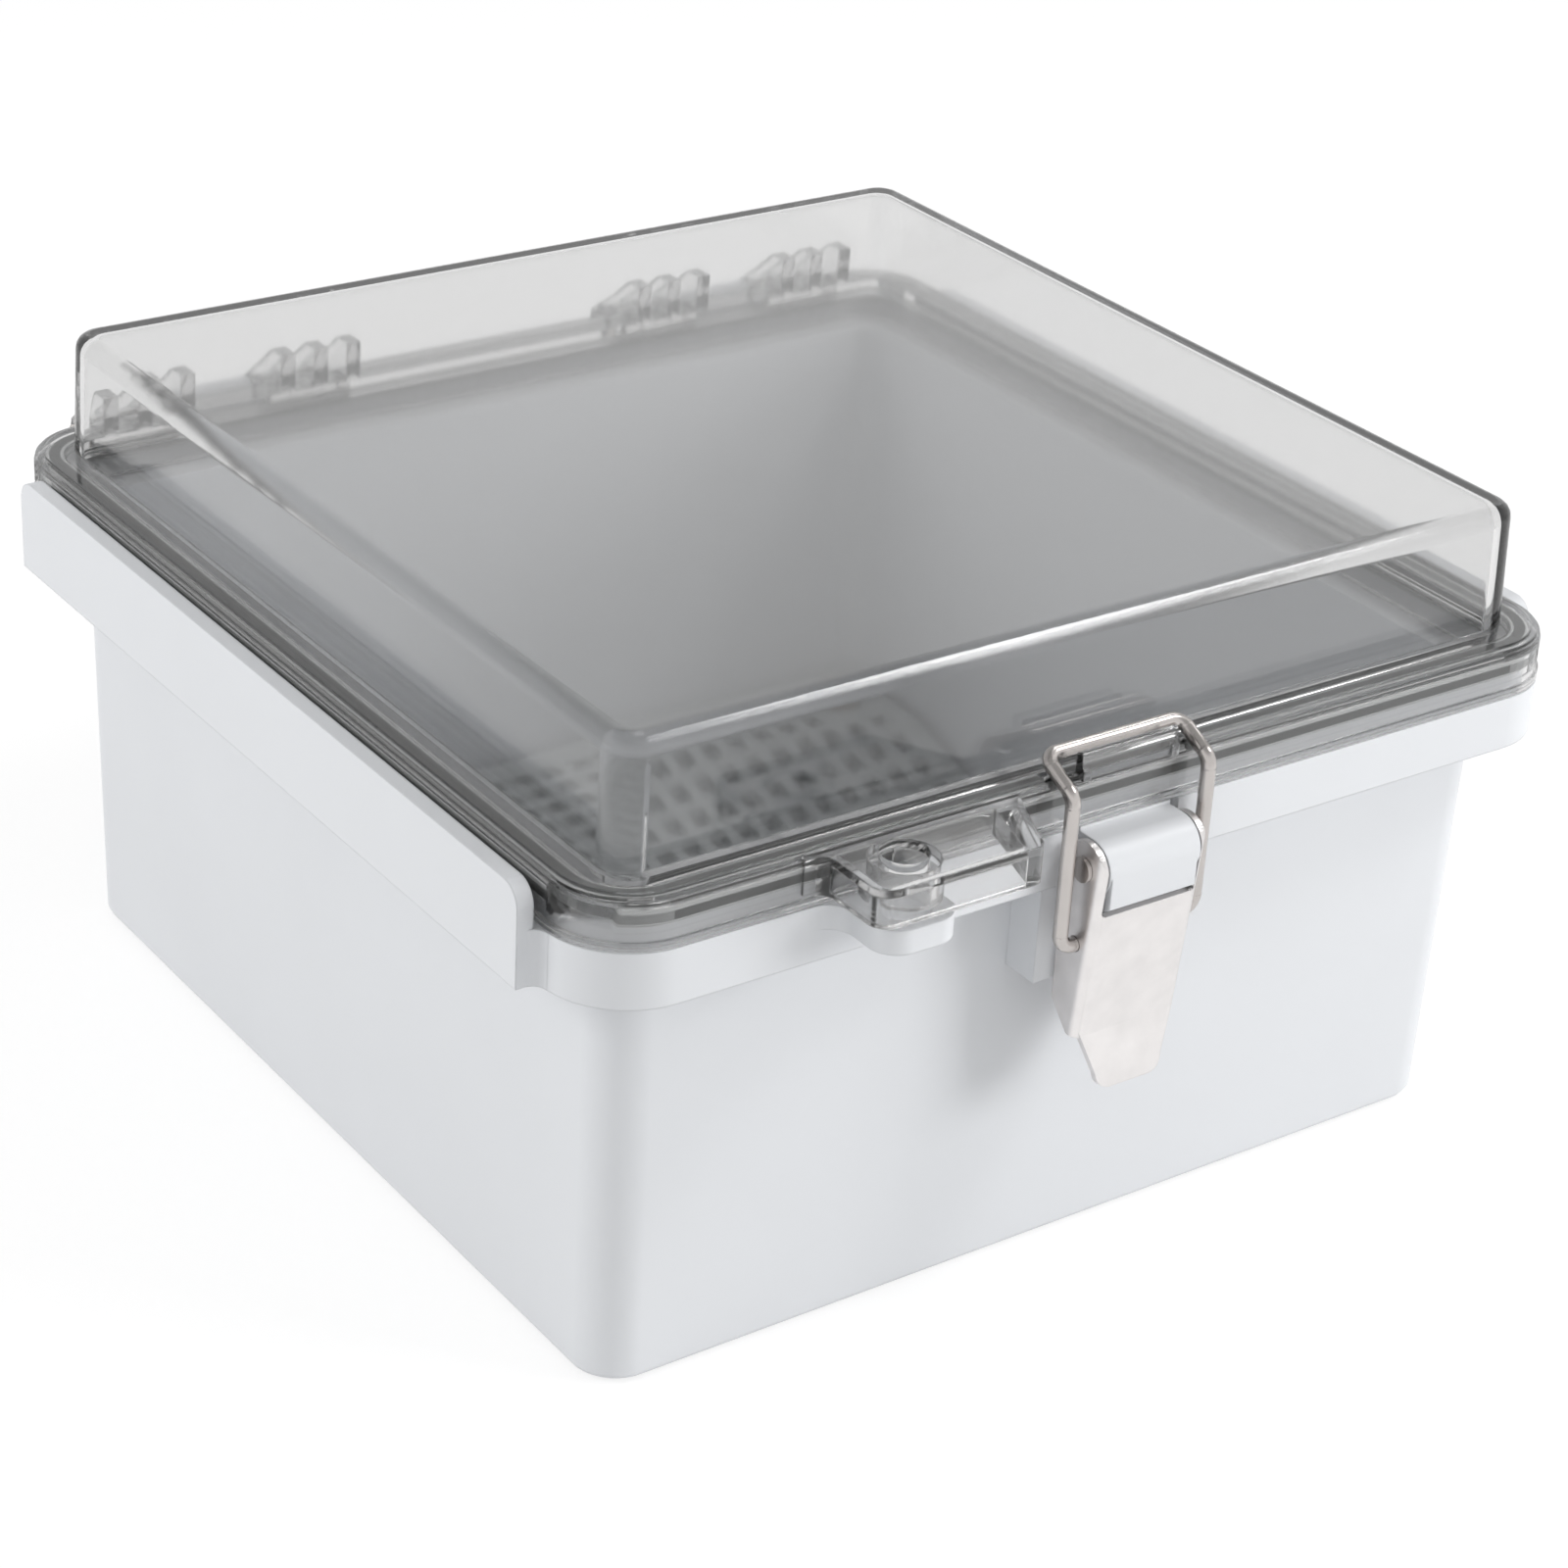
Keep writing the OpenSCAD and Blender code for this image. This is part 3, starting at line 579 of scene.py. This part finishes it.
class ENCLOSURE_OT_stage(bpy.types.Operator):
    """Set the floor, the lamps, the world and the camera"""

    bl_idname = "enclosure.stage"
    bl_label = "Stage"

    def seen_share(self, tree):
        """1 for what the camera sees, also in metal and through glass."""
        path = add_node(tree, "ShaderNodeLightPath")
        in_metal = add_node(
            tree,
            "ShaderNodeMath",
            [(0, path.outputs["Is Camera Ray"]), (1, path.outputs["Is Glossy Ray"])],
            operation="MAXIMUM",
        )
        through_glass = add_node(
            tree,
            "ShaderNodeMath",
            [(0, in_metal.outputs["Value"]), (1, path.outputs["Is Transmission Ray"])],
            operation="MAXIMUM",
        )
        return through_glass.outputs["Value"]

    def make_floor(self, size):
        """Pale floor that looks white and keeps a soft shadow."""
        bpy.ops.object.select_all(action="DESELECT")
        bpy.ops.mesh.primitive_plane_add(size=size, location=(0, 0, -FLOOR_DROP * MM))
        floor = bpy.context.view_layer.objects.active
        floor.name = "floor"
        material, tree = new_material("pale_matt_paper")
        paper = add_node(tree, "ShaderNodeBsdfDiffuse", Color=FLOOR_PAPER)
        glow = add_node(tree, "ShaderNodeEmission", Color=WHITE, Strength=FLOOR_GLOW)
        lit = add_node(
            tree,
            "ShaderNodeAddShader",
            [(0, paper.outputs["BSDF"]), (1, glow.outputs["Emission"])],
        )
        plain = add_node(tree, "ShaderNodeBsdfDiffuse", Color=FLOOR_BOUNCE)
        mixed = add_node(
            tree,
            "ShaderNodeMixShader",
            [
                ("Fac", self.seen_share(tree)),
                (1, plain.outputs["BSDF"]),
                (2, lit.outputs["Shader"]),
            ],
        )
        add_node(tree, "ShaderNodeOutputMaterial", [("Surface", mixed.outputs["Shader"])])
        floor.data.materials.append(material)

    def add_lamp(self, name, place, side, power, mirrored):
        """Square lamp, its place and side in m. One that isn't mirrored leaves no patch on the
        lid or the steel."""
        bpy.ops.object.light_add(type="AREA", location=place)
        lamp = bpy.context.view_layer.objects.active
        lamp.name = name
        lamp.data.shape = "SQUARE"
        lamp.data.size = side
        lamp.data.energy = power
        lamp.visible_glossy = mirrored
        lamp.visible_transmission = mirrored
        lamp.rotation_mode = "QUATERNION"
        lamp.rotation_quaternion = (Vector(LAMPS_AIM) - Vector(place)).to_track_quat("-Z", "Y")

    def make_world(self, scene, sky):
        """Even light from all around, and a white room for the eye."""
        world = bpy.data.worlds.new("studio")
        world.use_nodes = True
        tree = world.node_tree
        tree.nodes.clear()
        light = add_node(tree, "ShaderNodeBackground", Color=WHITE, Strength=sky)
        place = add_node(tree, "ShaderNodeTexCoord")
        height = add_node(tree, "ShaderNodeSeparateXYZ", [("Vector", place.outputs["Generated"])])
        fading = add_node(  # white to 30 degrees above the floor, then a slow fade to grey
            tree,
            "ShaderNodeMapRange",
            [("Value", height.outputs["Z"])],
            From_Min=0.5,
            From_Max=0.85,
            To_Min=1.0,
            To_Max=0.45,
        )
        room = add_node(
            tree, "ShaderNodeBackground", [("Strength", fading.outputs["Result"])], Color=WHITE
        )
        mixed = add_node(
            tree,
            "ShaderNodeMixShader",
            [
                ("Fac", self.seen_share(tree)),
                (1, light.outputs["Background"]),
                (2, room.outputs["Background"]),
            ],
        )
        add_node(tree, "ShaderNodeOutputWorld", [("Surface", mixed.outputs["Shader"])])
        scene.world = world

    def make_camera(self, scene, stage):
        """Camera that looks along its heading, down by its elevation and turned by its roll."""
        heading, tilt = stage.azimuth, stage.elevation
        reach = math.cos(tilt)
        ahead = Vector((math.sin(heading) * reach, math.cos(heading) * reach, -math.sin(tilt)))
        level = Vector((math.cos(heading), -math.sin(heading), 0))
        up = level.cross(ahead)
        right = math.cos(stage.roll) * level + math.sin(stage.roll) * up
        top = -math.sin(stage.roll) * level + math.cos(stage.roll) * up
        bpy.ops.object.camera_add(location=stage.place)
        camera = bpy.context.view_layer.objects.active
        camera.name = "camera"
        turn = Matrix((right, top, -ahead)).transposed()
        camera.rotation_mode = "QUATERNION"
        camera.rotation_quaternion = turn.to_quaternion()
        camera.data.sensor_width = SENSOR_WIDTH
        camera.data.lens = stage.lens
        camera.data.clip_start = NEAREST
        camera.data.clip_end = FARTHEST
        scene.camera = camera

    def execute(self, context):
        scene = context.scene
        stage = scene.enclosure_stage
        self.make_floor(stage.floor)
        lamps = (  # name, place, side, power, mirrored
            ("key_lamp", (0.7, -0.47, 1.05), 0.3, stage.key, True),
            ("right_lamp", (0.75, -0.85, 0.4), 0.4, stage.right, False),
            ("side_lamp", (-1.1, 0.45, 0.6), 0.6, stage.side, False),
        )
        for lamp in lamps:
            self.add_lamp(*lamp)
        self.make_world(scene, stage.sky)
        self.make_camera(scene, stage)
        scene.view_settings.view_transform = "Standard"
        return {"FINISHED"}


class ENCLOSURE_PT_sidebar(bpy.types.Panel):
    """Sidebar tab with the finishes and the stage"""

    bl_idname = "ENCLOSURE_PT_sidebar"
    bl_label = "Enclosure"
    bl_space_type = "VIEW_3D"
    bl_region_type = "UI"
    bl_category = "Enclosure"

    def draw(self, context):
        layout = self.layout
        for group in (context.scene.enclosure_colours, context.scene.enclosure_stage):
            for name in group.bl_rna.properties.keys():
                if name not in ("rna_type", "name"):
                    layout.prop(group, name)
        for piece in PIECES:
            layout.operator(piece.bl_idname)


PIECES = (
    ENCLOSURE_OT_tub,
    ENCLOSURE_OT_lid,
    ENCLOSURE_OT_latch,
    ENCLOSURE_OT_panel,
    ENCLOSURE_OT_stage,
)
CLASSES = (EnclosureColours, EnclosureStage, *PIECES, ENCLOSURE_PT_sidebar)


def register():
    """Registers the classes and gives the scene its properties."""
    for kind in CLASSES:
        bpy.utils.register_class(kind)
    bpy.types.Scene.enclosure_colours = PointerProperty(type=EnclosureColours)
    bpy.types.Scene.enclosure_stage = PointerProperty(type=EnclosureStage)


def unregister():
    """Takes back what register did."""
    del bpy.types.Scene.enclosure_stage
    del bpy.types.Scene.enclosure_colours
    for kind in reversed(CLASSES):
        bpy.utils.unregister_class(kind)


def main():
    """Makes every piece and the stage."""
    register()
    bpy.ops.enclosure.tub()
    bpy.ops.enclosure.lid()
    bpy.ops.enclosure.latch()
    bpy.ops.enclosure.panel()
    bpy.ops.enclosure.stage()


if __name__ == "__main__":
    main()
